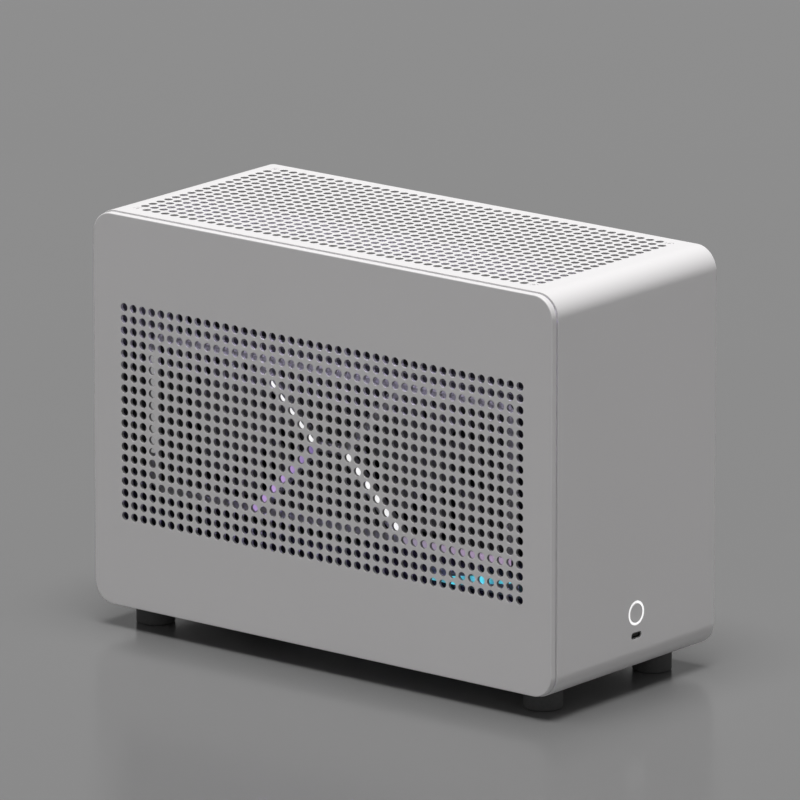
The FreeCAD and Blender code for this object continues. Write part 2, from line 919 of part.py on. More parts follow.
def make_card_bracket():
    """Bracket at the card's rear end, with a screw tab that leans out over the ledge."""
    x1 = bracket_right()
    x0 = x1 - bracket_width
    y0 = rear_plate_inner - bracket_sheet
    z1 = bracket_top() + bracket_sheet
    plate = block(x0, x1, y0, rear_plate_inner, card_low, z1)
    tab = block(x0, x1, y0, rear_plate_outer + bracket_tab, bracket_top(), z1)
    holes = [card_port_block(z, fit_gap, y0, rear_plate_inner) for z in card_port_places()]
    return fused(plate, tab).cut(holes)


def make_card_ports():
    """Display sockets on the card, seen through the bracket."""
    sockets = []
    y1 = rear_plate_inner
    for z in card_port_places():
        body = card_port_block(z, 0, y1 - card_port_depth, y1)
        cavity = card_port_block(z, -card_port_wall, y1 - card_port_cavity, y1)
        sockets.append(body.cut(cavity))
    return Part.makeCompound(sockets)


def make_top_light_strip():
    """Light strip along the top of the dividing plate."""
    z1 = inner_roof - top_strip_below_roof
    return block(
        mid_left - strip_thickness,
        mid_left,
        -top_strip_length / 2,
        top_strip_length / 2,
        z1 - strip_section,
        z1,
    )


def make_front_light_strip():
    """Light strip low down near the front of the dividing plate."""
    y0 = front + front_strip_from_front
    z0 = inner_floor + front_strip_above_floor - strip_section / 2
    return block(
        mid_left - strip_thickness, mid_left, y0, y0 + front_strip_length, z0, z0 + strip_section
    )


def make_floor_light_strip():
    """Light strip that lies on the case's floor, beside the left rail."""
    x0 = left_web + rail_flange + floor_strip_from_rail
    y0 = front + floor_strip_from_front
    return block(
        x0, x0 + strip_section, y0, y0 + floor_strip_length, inner_floor, inner_floor + strip_thickness
    )


def all_parts():
    """Every sub-part by name."""
    front_fan_y, rear_fan_y = fan_middles()
    return {
        "outer_shell": make_outer_shell(),
        "left_side_panel": make_left_side_panel(),
        "right_side_panel": make_right_side_panel(),
        "left_panel_tabs": panel_tabs(left + skin, 1),
        "right_panel_tabs": panel_tabs(right - skin, -1),
        "top_left_rail": rail(left_web, 1, inner_roof, -1),
        "bottom_left_rail": rail(left_web, 1, inner_floor, 1),
        "top_right_rail": rail(right_web, -1, inner_roof, -1),
        "bottom_right_rail": rail(right_web, -1, inner_floor, 1),
        "rear_panel": make_rear_panel(),
        "power_inlet": make_power_inlet(),
        "mid_plate": make_mid_plate(),
        "board_standoffs": make_board_standoffs(),
        "psu_bracket": make_psu_bracket(),
        "riser_socket": make_riser_socket(),
        "riser_board": make_riser_board(),
        "riser_bracket": make_riser_bracket(),
        "front_left_foot": make_foot(-1, -1),
        "front_right_foot": make_foot(1, -1),
        "rear_left_foot": make_foot(-1, 1),
        "rear_right_foot": make_foot(1, 1),
        "light_ring": make_light_ring(),
        "power_button": make_power_button(),
        "switch_body": make_switch_body(),
        "usb_socket": make_usb_socket(),
        "port_board": make_port_board(),
        "port_bracket": make_port_bracket(),
        "card_frame": make_card_frame(),
        "card_shroud": make_card_shroud(),
        "front_fan_rotor": make_fan_rotor(front_fan_y),
        "rear_fan_rotor": make_fan_rotor(rear_fan_y),
        "card_fins": make_card_fins(),
        "card_board": make_card_board(),
        "card_backplate": make_card_backplate(),
        "card_bracket": make_card_bracket(),
        "card_ports": make_card_ports(),
        "top_light_strip": make_top_light_strip(),
        "front_light_strip": make_front_light_strip(),
        "floor_light_strip": make_floor_light_strip(),
    }


os.makedirs("parts", exist_ok=True)
for name, shape in all_parts().items():
    shape.exportStep(f"parts/{name}.step")
    print(name, len(shape.Solids), round(shape.Volume / 1000, 2), shape.isValid())
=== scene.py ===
# %% [markdown]
# # A small white computer case in perforated sheet
#
# The construction comes in as a fixed frame: every sheet, rail, foot and fan already has its real size
# and place. This lesson gives those pieces their finish, and rebuilds the ones whose look depends on
# detail that plain solids lack: the perforated sheets, the bent wrap, the feet, the button and the fans.
# Everything is in metres, with the front at -Y, the right side at +X and the floor at z = 0.

import json
import math

import bmesh
import bpy
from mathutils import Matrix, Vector


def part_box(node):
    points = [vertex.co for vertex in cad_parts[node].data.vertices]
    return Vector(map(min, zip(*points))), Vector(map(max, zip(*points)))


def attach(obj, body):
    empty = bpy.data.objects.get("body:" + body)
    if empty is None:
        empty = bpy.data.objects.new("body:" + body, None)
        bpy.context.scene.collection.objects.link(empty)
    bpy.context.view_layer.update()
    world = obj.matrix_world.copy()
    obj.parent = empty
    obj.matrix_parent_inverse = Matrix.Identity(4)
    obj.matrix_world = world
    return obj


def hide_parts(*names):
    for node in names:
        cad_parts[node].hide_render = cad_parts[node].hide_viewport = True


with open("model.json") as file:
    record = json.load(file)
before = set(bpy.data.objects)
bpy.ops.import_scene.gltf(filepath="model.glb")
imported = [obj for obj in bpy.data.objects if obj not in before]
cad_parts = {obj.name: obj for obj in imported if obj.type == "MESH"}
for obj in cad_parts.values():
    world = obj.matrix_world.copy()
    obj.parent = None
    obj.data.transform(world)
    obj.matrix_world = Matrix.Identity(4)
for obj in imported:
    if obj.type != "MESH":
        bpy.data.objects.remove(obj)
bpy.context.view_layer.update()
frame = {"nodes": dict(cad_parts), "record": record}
mm = 0.001

# %% [markdown]
# ## Arithmetic with shader sockets
#
# A finish is a small calculation: a grain times a depth, one minus a mask. Wiring each step by hand
# hides that, so a socket is wrapped in a class whose operators add the Math nodes. Every other
# node comes from one method, which sets the node's own settings first and its sockets after that.


# %% A socket that takes part in arithmetic
class Value:
    """A shader socket; each operation on it adds one Math node."""

    def __init__(self, tree, socket):
        self.tree = tree
        self.socket = socket

    def combine(self, operation, *terms):
        node = self.tree.nodes.new("ShaderNodeMath")
        node.operation = operation
        for slot, term in zip(node.inputs, terms):
            if isinstance(term, Value):
                self.tree.links.new(term.socket, slot)
            else:
                slot.default_value = term
        return Value(self.tree, node.outputs[0])

    def __add__(self, other):
        return self.combine("ADD", self, other)

    def __sub__(self, other):
        return self.combine("SUBTRACT", self, other)

    def __rsub__(self, other):
        return self.combine("SUBTRACT", other, self)

    def __mul__(self, other):
        return self.combine("MULTIPLY", self, other)

    def __gt__(self, other):
        return self.combine("GREATER_THAN", self, other)

    def __lt__(self, other):
        return self.combine("LESS_THAN", self, other)

    def size(self):
        return self.combine("ABSOLUTE", self)

    # A sum or a product is the same in either order.
    __radd__ = __add__
    __rmul__ = __mul__


print("sockets can be added, subtracted, multiplied and compared")


# %% A node tree
class Wiring:
    """A node tree; any node but a Math node is added by one method."""

    def __init__(self, tree, shader):
        self.tree = tree
        self.shader = tree.nodes[shader]

    def node(self, kind, settings=None, sockets=None, output=0):
        node = self.tree.nodes.new("ShaderNode" + kind)
        for name, value in (settings or {}).items():
            setattr(node, name, value)
        for name, value in (sockets or {}).items():
            if isinstance(value, Value):
                self.tree.links.new(value.socket, node.inputs[name])
            else:
                node.inputs[name].default_value = value
        return Value(self.tree, node.outputs[output])

    def blend(self, mask, low, high):
        return self.node("Mix", {"data_type": "RGBA"}, {0: mask, 6: low, 7: high}, 2)

    def link(self, socket, value):
        self.tree.links.new(value.socket, self.shader.inputs[socket])


print("node trees can be wired")


# %% A material in the making
class Finish(Wiring):
    """One material: constants go on the shader's own sockets, and what varies is linked to them."""

    def __init__(self, name, **constants):
        self.material = bpy.data.materials.new(name)
        self.material.use_nodes = True
        super().__init__(self.material.node_tree, "Principled BSDF")
        for socket, value in constants.items():
            self.shader.inputs[socket.replace("_", " ")].default_value = value
        self.place = self.node("TexCoord", output="Object")

    def stretched(self, scale):
        return self.node("Mapping", None, {"Vector": self.place, "Scale": scale})

    def noise(self, scale, detail, vector=None):
        sockets = {"Vector": vector or self.place, "Scale": scale, "Detail": detail}
        return self.node("TexNoise", None, sockets, "Fac")

    def bump(self, height, strength, distance):
        sockets = {"Height": height, "Strength": strength, "Distance": distance}
        self.link("Normal", self.node("Bump", None, sockets))


neutral = (1.0, 1.0, 1.0)


def grey(level, tint=neutral):
    return (level * tint[0], level * tint[1], level * tint[2], 1.0)


finishes = {}
print("mid grey", grey(0.5))

# %% [markdown]
# ## White powder coat
#
# The sheets are sprayed with powder that melts into a skin. Close up it has a fine orange peel and a
# satin sheen, and over a hand's width its tone drifts very slightly. A picture of a coat would repeat
# and blur, so two noises do that: a fine one for the bump and the sheen, a broad one for the tone.
# The hole walls get darker grey copies of the same coat: painted shade for the little light that reaches
# into the holes.

# %% White coat
warm = (1.0, 0.982, 0.988)


def white_coat(name, level):
    """Satin powder coat of one grey level."""
    finish = Finish(name, IOR=1.45)
    peel = finish.noise(scale=900.0, detail=3.0)
    drift = finish.noise(scale=9.0, detail=1.0)
    finish.link("Base Color", finish.blend(drift, grey(level * 0.985, warm), grey(level * 1.015, warm)))
    finish.link("Roughness", 0.38 + 0.12 * peel)
    finish.bump(peel, strength=0.12, distance=0.06 * mm)
    return finish.material


finishes["white_sheet"] = white_coat("white_powder_coat", 0.8)
# The hole walls are the same white coat; their darker grey levels are painted shade.
finishes["punched_edge"] = white_coat("painted_shade_in_holes", 0.36)
finishes["top_punched_edge"] = white_coat("paler_painted_shade_in_top_holes", 0.55)
print("white coat:", finishes["white_sheet"].name, finishes["punched_edge"].name)

# %% [markdown]
# ## Black chassis coat, rubber and moulded plastic
#
# The chassis inside is black powder coat, coarser than the white one. The feet are rubber, the duct and
# the sockets are black moulded plastic, and the fans are moulded in grey. All are dark, so what tells
# them apart is the gloss: each one gets its own grain size and its own range of roughness.

# %% Dark finishes
cool = (1.0, 1.0, 1.08)


def dark_grain(name, level, tint, scale, rough, depth):
    """Dark surface with a grain that moves its gloss and its relief; rough holds two ends."""
    finish = Finish(name)
    grain = finish.noise(scale, detail=4.0)
    finish.link("Base Color", finish.blend(grain, grey(level * 0.7, tint), grey(level * 1.3, tint)))
    finish.link("Roughness", rough[0] + (rough[1] - rough[0]) * grain)
    finish.bump(grain, strength=0.25, distance=depth)
    return finish.material


finishes["black_steel"] = dark_grain(
    "black_chassis_coat", level=0.02, tint=cool, scale=1400.0, rough=(0.4, 0.65), depth=0.05 * mm
)
finishes["foot_rubber"] = dark_grain(
    "foot_rubber", level=0.075, tint=neutral, scale=700.0, rough=(0.6, 0.85), depth=0.08 * mm
)
finishes["black_plastic"] = dark_grain(
    "moulded_black_plastic", level=0.018, tint=cool, scale=2200.0, rough=(0.35, 0.5), depth=0.03 * mm
)
finishes["fan_plastic"] = dark_grain(
    "moulded_grey_plastic", level=0.14, tint=cool, scale=2200.0, rough=(0.4, 0.55), depth=0.03 * mm
)
finishes["dark_fins"] = dark_grain(
    "dark_anodised_fins", level=0.05, tint=cool, scale=1800.0, rough=(0.3, 0.5), depth=0.02 * mm
)
print("finishes so far:", len(finishes))

# %% [markdown]
# ## Bare metals
#
# Spring tabs, the card's bracket and socket sleeves are bare steel, drawn through rollers, so their
# grain runs one way: the noise is stretched along the sheet. The standoffs are turned brass, and the
# card's frame has a silver lacquer, half metal and half paint. One recipe serves all three, because
# only the colour, the stretch and the gloss differ.


# %% Brushed metals
def brushed_metal(name, colour, stretch, rough, metallic=1.0):
    """Metal with fine lines along one axis, darker in the deeper lines."""
    finish = Finish(name, Metallic=metallic)
    lines = finish.noise(scale=260.0, detail=3.0, vector=finish.stretched(stretch))
    worn = tuple(0.82 * c for c in colour[:3]) + (1.0,)
    finish.link("Base Color", finish.blend(lines, worn, colour))
    finish.link("Roughness", rough[0] + (rough[1] - rough[0]) * lines)
    finish.bump(lines, strength=0.08, distance=0.02 * mm)
    return finish.material


finishes["spring_steel"] = brushed_metal(
    "rolled_steel", colour=grey(0.56), stretch=(6.0, 6.0, 0.4), rough=(0.28, 0.45)
)
finishes["brass_pillar"] = brushed_metal(
    "turned_brass", colour=(0.78, 0.56, 0.25, 1.0), stretch=(0.5, 6.0, 6.0), rough=(0.22, 0.4)
)
finishes["bright_frame"] = brushed_metal(
    "silver_lacquer", colour=grey(0.64), stretch=(4.0, 4.0, 4.0), rough=(0.32, 0.4), metallic=0.5
)
print("metals:", [finishes[key].name for key in ("spring_steel", "brass_pillar", "bright_frame")])

# %% [markdown]
# ## Circuit board
#
# Solder mask is a thin lacquer over copper tracks: a dark board where the tracks show as a slightly
# paler, raised pattern. Two sets of bands that cross, bent a little by noise, stand for the tracks:
# drawing each track would cost many faces on boards that are seen only through small holes.


# %% Circuit board
def solder_mask():
    """Dark lacquered board with faint tracks."""
    finish = Finish("solder_mask", IOR=1.5)
    bands = {"wave_type": "BANDS", "bands_direction": "Y"}
    sockets = {"Vector": finish.place, "Scale": 160.0, "Distortion": 3.0, "Detail": 1.0}
    along = finish.node("TexWave", bands, sockets, "Fac")
    bands = {"wave_type": "BANDS", "bands_direction": "Z"}
    upright = finish.node("TexWave", bands, sockets, "Fac")
    tracks = (along > 0.75) + (upright > 0.82)
    between_tracks = (0.008, 0.014, 0.012, 1.0)
    over_tracks = (0.016, 0.034, 0.028, 1.0)
    finish.link("Base Color", finish.blend(tracks, between_tracks, over_tracks))
    finish.link("Roughness", 0.4 - 0.1 * tracks)
    finish.bump(tracks, strength=0.2, distance=0.03 * mm)
    return finish.material


finishes["circuit_board"] = solder_mask()
print("board finish:", finishes["circuit_board"].name)

# %% [markdown]
# ## Light guides
#
# The ring round the button and the strips inside are milky plastic with diodes behind. The thin lines on
# the card's frame glow in the same way, but they are no lamps: they are painted highlights and painted
# light where the frame's bars catch light. The light is brightest at each diode and fades between them, so
# the emission colour follows a soft wave along the strip; a pitch longer than the piece gives one slow
# change of tone. Many small lamps could do it too, but a glowing surface is quicker and shows in every
# view. The strength is one constant, because only the colour varies over the surface.

# %% Lit plastic
bands_per_metre = 10.0 / math.pi


class LitPlastic(Finish):
    """Milky plastic lit from behind by a row of diodes along Y."""

    def __init__(self, name, strength, diode_pitch):
        super().__init__(name, Roughness=0.3, Emission_Strength=strength, Base_Color=grey(0.25))
        bands = {"wave_type": "BANDS", "bands_direction": "Y", "wave_profile": "SIN"}
        sockets = {"Vector": self.place, "Scale": 1.0 / (bands_per_metre * diode_pitch)}
        self.glow = self.node("TexWave", bands, sockets, "Fac")

    def shine(self, dim, bright):
        self.link("Emission Color", self.blend(self.glow, dim, bright))
        return self.material


# key: name, strength, diode pitch, colour between the diodes, colour over a diode
lit_plastics = {
    "ring_light": ("lit_ring", 1.0, 5 * mm, grey(0.88), grey(0.95)),
    "violet_light": ("violet_strip", 12.0, 16 * mm, (0.6, 0.52, 0.92, 1.0), (0.8, 0.74, 1.0, 1.0)),
    "floor_light": ("floor_strip", 90.0, 16 * mm, (0.36, 0.28, 0.9, 1.0), (0.5, 0.42, 1.0, 1.0)),
    # The last four rows glow on the card's frame as painted highlights and painted light, not as lamps.
    "white_painted_highlight": ("white_painted_highlight", 1.0, 9 * mm, grey(0.86), grey(0.97)),
    "violet_painted_highlight": ("violet_painted_highlight", 1.0, 98 * mm, (0.03, 0.03, 0.16, 1.0), (0.46, 0.3, 0.62, 1.0)),
    "pale_painted_light": ("pale_painted_light", 1.0, 7 * mm, grey(0.25), grey(0.3)),
    "lilac_painted_light": ("lilac_painted_light", 1.0, 260 * mm, (0.2, 0.19, 0.24, 1.0), (0.34, 0.25, 0.38, 1.0)),
}
for key, (name, strength, diode_pitch, dim, bright) in lit_plastics.items():
    finishes[key] = LitPlastic(name, strength, diode_pitch).shine(dim, bright)
print("lit plastics:", list(lit_plastics))

# %% [markdown]
# Behind the cover at the front the row of diodes runs at a slant, so only a slanted band of it glows:
# lower towards the rear, higher towards the front. A distance from a sloping line gives that band.


# %% Slanted cyan light
def slanted_light():
    """Milky cover over a sloping row of cyan diodes."""
    finish = LitPlastic("cyan_strip", 1.0, 20 * mm)
    along = finish.node("SeparateXYZ", None, {"Vector": finish.place}, "Y")
    upright = finish.node("SeparateXYZ", None, {"Vector": finish.place}, "Z")
    row_y = -37.8 * mm
    row_z = 48.4 * mm
    row_slope = 0.19
    row_half = 2.6 * mm
    above_row = upright - row_z + row_slope * (along - row_y)
    finish.glow = (0.4 + 0.6 * finish.glow) * (row_half > above_row.size())
    return finish.shine((0.004, 0.012, 0.016, 1.0), (0.08, 0.68, 0.84, 1.0))


finishes["cyan_light"] = slanted_light()
print("finishes:", sorted(finishes))

# %% [markdown]
# ## Finishes on the frame
#
# Each piece of the frame names a material slot in its record. The finishes carry the same names, so one
# loop dresses them all, and the pieces that are rebuilt later take their slot's finish in the same way.

# %% Give every piece of the frame its finish
for row in frame["record"]["subparts"]:
    mesh = frame["nodes"][row["node"]].data
    mesh.materials.clear()
    mesh.materials.append(finishes[row["material_slot"]])

# %% [markdown]
# ## Building meshes from corners
#
# Sheet metal is easiest to describe as faces whose corners are worked out by formula. The class below
# collects such faces and merges corners that coincide, so neighbouring faces share their edges and the
# result is a closed skin. Flat areas stay flat in the shading, and bends and hole walls are smooth.


# %% Faces that share corners
class Skin:
    """Faces collected by the coordinates of their corners, which are told apart in fine steps."""

    steps_per_metre = 1e7

    def __init__(self):
        self.index = {}
        self.points = []
        self.faces = []
        self.finish = []

    def corner(self, point):
        key = tuple(round(c * self.steps_per_metre) for c in point)
        if key not in self.index:
            self.index[key] = len(self.points)
            self.points.append(tuple(point))
        return self.index[key]

    def face(self, points, finish=0):
        corners = list(dict.fromkeys(self.corner(p) for p in points))
        if len(corners) > 2:
            self.faces.append(corners)
            self.finish.append(finish)

    def bands(self, loops, finish=0):
        """Quads between each closed loop and the next."""
        for low, high in zip(loops, loops[1:]):
            for i in range(len(low)):
                self.face((low[i - 1], low[i], high[i], high[i - 1]), finish)

    def ended(self, loops, finish=0):
        """Bands with a face over the first and the last loop."""
        self.bands(loops, finish)
        self.face(loops[0], finish)
        self.face(loops[-1], finish)

    def rows(self, rows):
        """Quads over a grid of points."""
        for low, high in zip(rows, rows[1:]):
            for i in range(len(low) - 1):
                self.face((low[i], low[i + 1], high[i + 1], high[i]))


print("corners closer than", 1 / Skin.steps_per_metre, "m are one corner")

# %% Turn collected faces into a piece
sharp_angle = math.radians(32)


def add_object(name, data):
    """New object in the scene."""
    thing = bpy.data.objects.new(name, data)
    bpy.context.scene.collection.objects.link(thing)
    return thing


def make_piece(name, skin, body, slot, replaced=(), extra=()):
    """Object from a skin, on its body, with the finish of its slot and any extra finishes."""
    mesh = bpy.data.meshes.new(name)
    mesh.from_pydata(skin.points, [], skin.faces)
    mesh.polygons.foreach_set("material_index", skin.finish)
    work = bmesh.new()
    work.from_mesh(mesh)
    bmesh.ops.recalc_face_normals(work, faces=work.faces)
    work.to_mesh(mesh)
    open_edges = sum(not e.is_manifold for e in work.edges)
    work.free()
    for key in (slot, *extra):
        mesh.materials.append(finishes[key])
    mesh.shade_smooth()
    mesh.set_sharp_from_angle(angle=sharp_angle)
    piece = add_object(name, mesh)
    weighted = piece.modifiers.new("flat_faces_lead", "WEIGHTED_NORMAL")
    weighted.keep_sharp = True
    weighted.weight = 100
    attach(piece, body)
    if replaced:
        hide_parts(*replaced)
    print(name, len(mesh.polygons), "faces,", open_edges, "open edges")
    return piece


print("edges sharper than", round(math.degrees(sharp_angle)), "degrees stay sharp")

# %% [markdown]
# ## Punched sheet
#
# The sheets carry a square grid of small round holes. Cutting two thousand holes with booleans is slow
# and leaves rough meshes, so each hole gets its own square cell instead: a circle joined to the cell's
# edge, with a small rounded lip outside, a wall through the sheet and a plain circle inside. Cells
# have matching corners, so they join into one sheet. What surrounds the field is four large faces.

# %% Sizes of the sheet
skin_thickness = 2 * mm
bend_radius = 14 * mm
punched_lip = 0.1 * mm
hole_pitch = 7 * mm
hole_radius = 2.55 * mm
field_columns = 43
field_rows = 19
hole_steps = 6
print("open area", round(math.pi * hole_radius**2 / hole_pitch**2, 2))


# %% Rounded outlines in four sides
def rounded_sides(middle, half, radius, steps):
    """Outline of a rounded rectangle as four sides, each from the middle of one corner to the next."""
    corners = []
    for k, (u_sign, v_sign) in enumerate(((-1, -1), (1, -1), (1, 1), (-1, 1))):
        centre_u = middle[0] + u_sign * (half[0] - radius)
        centre_v = middle[1] + v_sign * (half[1] - radius)
        arc = []
        for i in range(steps + 1):
            angle = math.pi * (1 + k / 2) + math.pi / 2 * i / steps
            arc.append((centre_u + radius * math.cos(angle), centre_v + radius * math.sin(angle)))
        corners.append(arc)
    half_way = steps // 2
    return [corners[k][half_way:] + corners[(k + 1) % 4][: half_way + 1] for k in range(4)]


def closed(sides):
    return [point for side in sides for point in side[:-1]]


def collar(skin, surface, depth, outer, inner):
    """Four faces between two outlines that are given as four sides each."""
    for out_side, in_side in zip(outer, inner):
        points = out_side + in_side[::-1]
        skin.face([surface(u, v, depth) for u, v in points])


print("an outline has", len(rounded_sides((0, 0), (1, 1), 1, hole_steps)), "sides")


# %% One hole
def punch(skin, surface, middle, half, radius, steps, wall_finish):
    """Lip and wall of one hole; returns its outline on the outer and on the inner face."""
    lip = rounded_sides(middle, [h + punched_lip for h in half], radius + punched_lip, steps)
    wall = rounded_sides(middle, half, radius, steps)
    lip_loop = [surface(u, v, 0) for u, v in closed(lip)]
    top_loop = [surface(u, v, punched_lip) for u, v in closed(wall)]
    low_loop = [surface(u, v, skin_thickness) for u, v in closed(wall)]
    skin.bands([lip_loop, top_loop])
    skin.bands([top_loop, low_loop], wall_finish)
    return lip, wall


print("hole", round(2000 * hole_radius, 2), "mm across, lip", round(1000 * punched_lip, 2), "mm")


# %% Fields of holes
def cell_edge(outline, middle):
    """The square cell's edge, one point for each point of the hole's outline."""
    edge = []
    for u, v in closed(outline):
        across, upright = u - middle[0], v - middle[1]
        reach = hole_pitch / 2 / max(abs(across), abs(upright))
        edge.append((middle[0] + across * reach, middle[1] + upright * reach))
    return edge


def perforate(skin, surface, middle, columns, rows, wall_finish):
    """Every cell of a field; returns the field's border as four sides."""
    half = (hole_radius, hole_radius)
    for i in range(columns):
        for j in range(rows):
            u = middle[0] + (i - (columns - 1) / 2) * hole_pitch
            v = middle[1] + (j - (rows - 1) / 2) * hole_pitch
            rings = punch(skin, surface, (u, v), half, hole_radius, hole_steps, wall_finish)
            for depth, ring in zip((0, skin_thickness), rings):
                edge = cell_edge(ring, (u, v))
                outer = [surface(*point, depth) for point in edge]
                skin.bands([outer, [surface(*point, depth) for point in closed(ring)]])
    return field_border(middle, columns * hole_pitch / 2, rows * hole_pitch / 2, columns, rows)


def field_border(middle, half_u, half_v, columns, rows):
    """Border of a field in four sides, with the corners that its cells have there."""
    half_way = hole_steps // 2
    steps = [math.tan(math.radians(90 / hole_steps * k)) / 2 for k in range(-half_way, half_way)]
    along = [(i + 0.5 + s) / columns * 2 - 1 for i in range(columns) for s in steps] + [1]
    upright = [(i + 0.5 + s) / rows * 2 - 1 for i in range(rows) for s in steps] + [1]
    u, v = middle
    return [
        [(u + half_u * a, v - half_v) for a in along],
        [(u + half_u, v + half_v * a) for a in upright],
        [(u - half_u * a, v + half_v) for a in along],
        [(u - half_u, v - half_v * a) for a in upright],
    ]


print("corners on one cell's edge:", 4 * hole_steps)

# %% [markdown]
# ## Side panels
#
# Each side is a shallow tray: a perforated sheet with its rim bent inwards. A bevel would round every
# hole as well, so the rim is drawn as one profile carried round the outline: a rounded outer edge, the
# rim's wall, its cut end, and a fillet inside. The left tray covers the whole side, a little within the
# wrap's outline. The right one sits inside the wrap and has holes only over the main board's cooler.
# Both keep the wrap's corner centres.

# %% Tray with a perforated face
shell_low, shell_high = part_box("outer_shell")
corner_steps = 16


def side_tray(name, node, body, outward, field_middle_y, columns, rows):
    """Perforated tray in the place of one side panel. outward is the sign of X away from the case."""
    low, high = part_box(node)
    face_x = high.x if outward > 0 else low.x
    depth_in = high.x - low.x
    middle = ((low.y + high.y) / 2, (low.z + high.z) / 2)
    half = ((high.y - low.y) / 2, (high.z - low.z) / 2)
    radius = bend_radius - (shell_high.y - high.y)
    edge = 0.7 * mm
    cut = 0.3 * mm
    fillet = 0.6 * mm

    def surface(u, v, depth):
        return (face_x - outward * depth, u, v)

    def outline(inset):
        return rounded_sides(middle, [h - inset for h in half], radius - inset, corner_steps)

    turns = [math.radians(a) for a in (0, 22.5, 45, 67.5, 90)]
    profile = [(edge - edge * math.sin(a), edge - edge * math.cos(a)) for a in turns]
    profile += [(0, depth_in - cut), (cut, depth_in), (skin_thickness - cut, depth_in)]
    profile += [(skin_thickness, depth_in - cut)]
    inside = skin_thickness + fillet
    profile += [(inside - fillet * math.cos(a), inside - fillet * math.sin(a)) for a in turns]

    skin = Skin()
    border = perforate(skin, surface, (field_middle_y, middle[1]), columns, rows, 1)
    collar(skin, surface, 0, outline(edge), border)
    collar(skin, surface, skin_thickness, outline(inside), border)
    skin.bands([[surface(u, v, depth) for u, v in closed(outline(inset))] for inset, depth in profile])
    return make_piece(name, skin, body, "white_sheet", [node], ["punched_edge"])


print("case outline", [round(v, 4) for v in shell_high - shell_low], "m")

# %% Left and right tray
cooler_holes = 13
cooler_middle_y = 69 * mm
side_tray("left_perforated_tray", "left_side_panel", "left_panel", outward=-1,
          field_middle_y=0, columns=field_columns, rows=field_rows)
side_tray("right_perforated_tray", "right_side_panel", "right_panel", outward=1,
          field_middle_y=cooler_middle_y, columns=cooler_holes, rows=cooler_holes)

# %% [markdown]
# ## The bent wrap
#
# Top, front and underside are one sheet, bent at four corners and ending in two lips at the rear. On
# the bench it starts as a long flat blank. So the mesh is laid out flat too, along the blank's length
# and across its width, and one function bends it: it returns the place of any point of the blank at
# any depth in the sheet. Holes are punched in the flat, and the bend carries them along.

# %% Path of the blank
lip_length = 8 * mm
flat_length = shell_high.y - shell_low.y - 2 * bend_radius
flat_height = shell_high.z - shell_low.z - 2 * bend_radius
bend_length = bend_radius * math.pi / 2
stretches = [lip_length, bend_length, flat_length, bend_length, flat_height]
stretches += [bend_length, flat_length, bend_length, lip_length]


def onward(heading):
    """Direction along the blank."""
    return Vector((math.cos(heading), math.sin(heading)))


def facing(heading):
    """Direction that the blank's outer face looks in."""
    return Vector((-math.sin(heading), math.cos(heading)))


def blank_path():
    """Start, start place and start direction (in Y and Z) of each flat and bend of the blank."""
    path = []
    start = 0.0
    place = Vector((shell_high.y, shell_low.z + bend_radius + lip_length))
    heading = -math.pi / 2
    for number, length in enumerate(stretches):
        is_bend = number % 2 == 1
        path.append((start, place.copy(), heading, is_bend))
        if is_bend:
            centre = place - bend_radius * facing(heading)
            heading -= math.pi / 2
            place = centre + bend_radius * facing(heading)
        else:
            place = place + length * onward(heading)
        start += length
    return path


wrap_path = blank_path()
print("blank length", round(sum(stretches), 4), "m")

# %% Bend a point of the blank
joint_width = 1e-9


def wrap_surface(along, across, depth):
    """Place of a point of the blank after bending; depth is measured from the outside."""
    start, place, heading, is_bend = [step for step in wrap_path if step[0] <= along + joint_width][-1]
    run = along - start
    if is_bend:
        centre = place - bend_radius * facing(heading)
        heading -= run / bend_radius
        spot = centre + facing(heading) * (bend_radius - depth)
    else:
        spot = place + run * onward(heading) - facing(heading) * depth
    return (across, spot.x, spot.y)


print("middle of the blank", [round(v, 4) for v in wrap_surface(sum(stretches) / 2, 0, 0)])

# %% Strips of the wrap
wrap_edge = 0.12 * mm
wrap_left = shell_low.x + wrap_edge
wrap_right = shell_high.x - wrap_edge
wrap_middle = (shell_low.x + shell_high.x) / 2
wrap = Skin()


def strip_sides(start, end):
    """A strip of the blank across its whole width, as four sides."""
    corners = [(start, wrap_left), (end, wrap_left), (end, wrap_right), (start, wrap_right)]
    return [[corners[k], corners[(k + 1) % 4]] for k in range(4)]


def cut_edge(face_x, cut_x):
    """Section of the blank's cut edge with its sharpness taken off, from the outer to the inner face."""
    inner_edge = skin_thickness - wrap_edge
    return [(face_x, 0), (cut_x, wrap_edge), (cut_x, inner_edge), (face_x, skin_thickness)]


left_edge = cut_edge(wrap_left, shell_low.x)
right_edge = cut_edge(wrap_right, shell_high.x)


def strip_edges(start, end):
    """The blank's two cut edges along one strip."""
    for section in (left_edge, right_edge):
        wrap.rows([[wrap_surface(s, x, depth) for x, depth in section] for s in (start, end)])


def plain_strip(start, end):
    strip_edges(start, end)
    for depth in (0, skin_thickness):
        wrap.face([wrap_surface(*side[0], depth) for side in strip_sides(start, end)])


def holed_strip(start, end, middle, half, radius, steps):
    """Strip with one rounded hole."""
    strip_edges(start, end)
    outlines = punch(wrap, wrap_surface, middle, half, radius, steps, 1)
    for depth, outline in zip((0, skin_thickness), outlines):
        collar(wrap, wrap_surface, depth, strip_sides(start, end), outline)


print("width of the blank", round(shell_high.x - shell_low.x, 4), "m")

